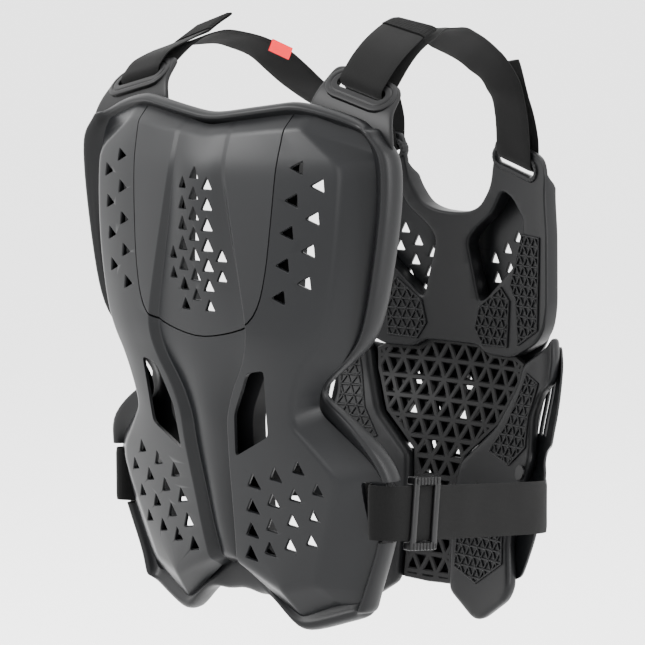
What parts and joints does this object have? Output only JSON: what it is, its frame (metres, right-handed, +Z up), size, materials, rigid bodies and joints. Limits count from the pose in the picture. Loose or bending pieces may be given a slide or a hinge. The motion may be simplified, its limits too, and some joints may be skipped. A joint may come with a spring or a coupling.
{
  "type": "roost deflector",
  "caption": "Hard-shell chest and back guard with foam liners, a lattice lower back, two shoulder straps and two buckled waist straps, shown as worn.",
  "frame": {"origin": "the middle between the two shoulder straps at their crests, at the level of their undersides", "axes": "+Z up along the wearer's body, +Y toward the wearer's back, +X toward the wearer's left"},
  "size_m": [0.332, 0.3249, 0.4909],
  "materials": {
    "shell": "fine-grained satin, moulded",
    "insert": "fine-grained satin, moulded",
    "foam": "matte skinned foam",
    "tab": "matte flexible plastic",
    "webbing": "brushed woven webbing",
    "mesh": "matte moulded lattice",
    "nylon": "satin moulded nylon",
    "tag": "woven ribbon"
  },
  "bodies": {
    "root": {"front_shell": "shell", "front_insert_panel": "insert", "front_liner": "foam", "front_strap_tab_left": "tab", "front_strap_tab_right": "tab", "back_upper_liner": "foam", "back_upper_shell": "shell", "back_lower_shell": "shell", "back_lattice": "mesh", "back_side_pad_left": "foam", "back_side_pad_right": "foam", "pad_rivet_left": "nylon", "pad_rivet_right": "nylon", "shoulder_strap_left": "webbing", "shoulder_strap_right": "webbing", "strap_tip_left": "tab", "strap_tip_right": "tab", "strap_tag": "tag", "waist_strap_left": "webbing", "waist_strap_right": "webbing", "waist_buckle_left": "nylon", "waist_buckle_right": "nylon"}
  },
  "joints": []
}
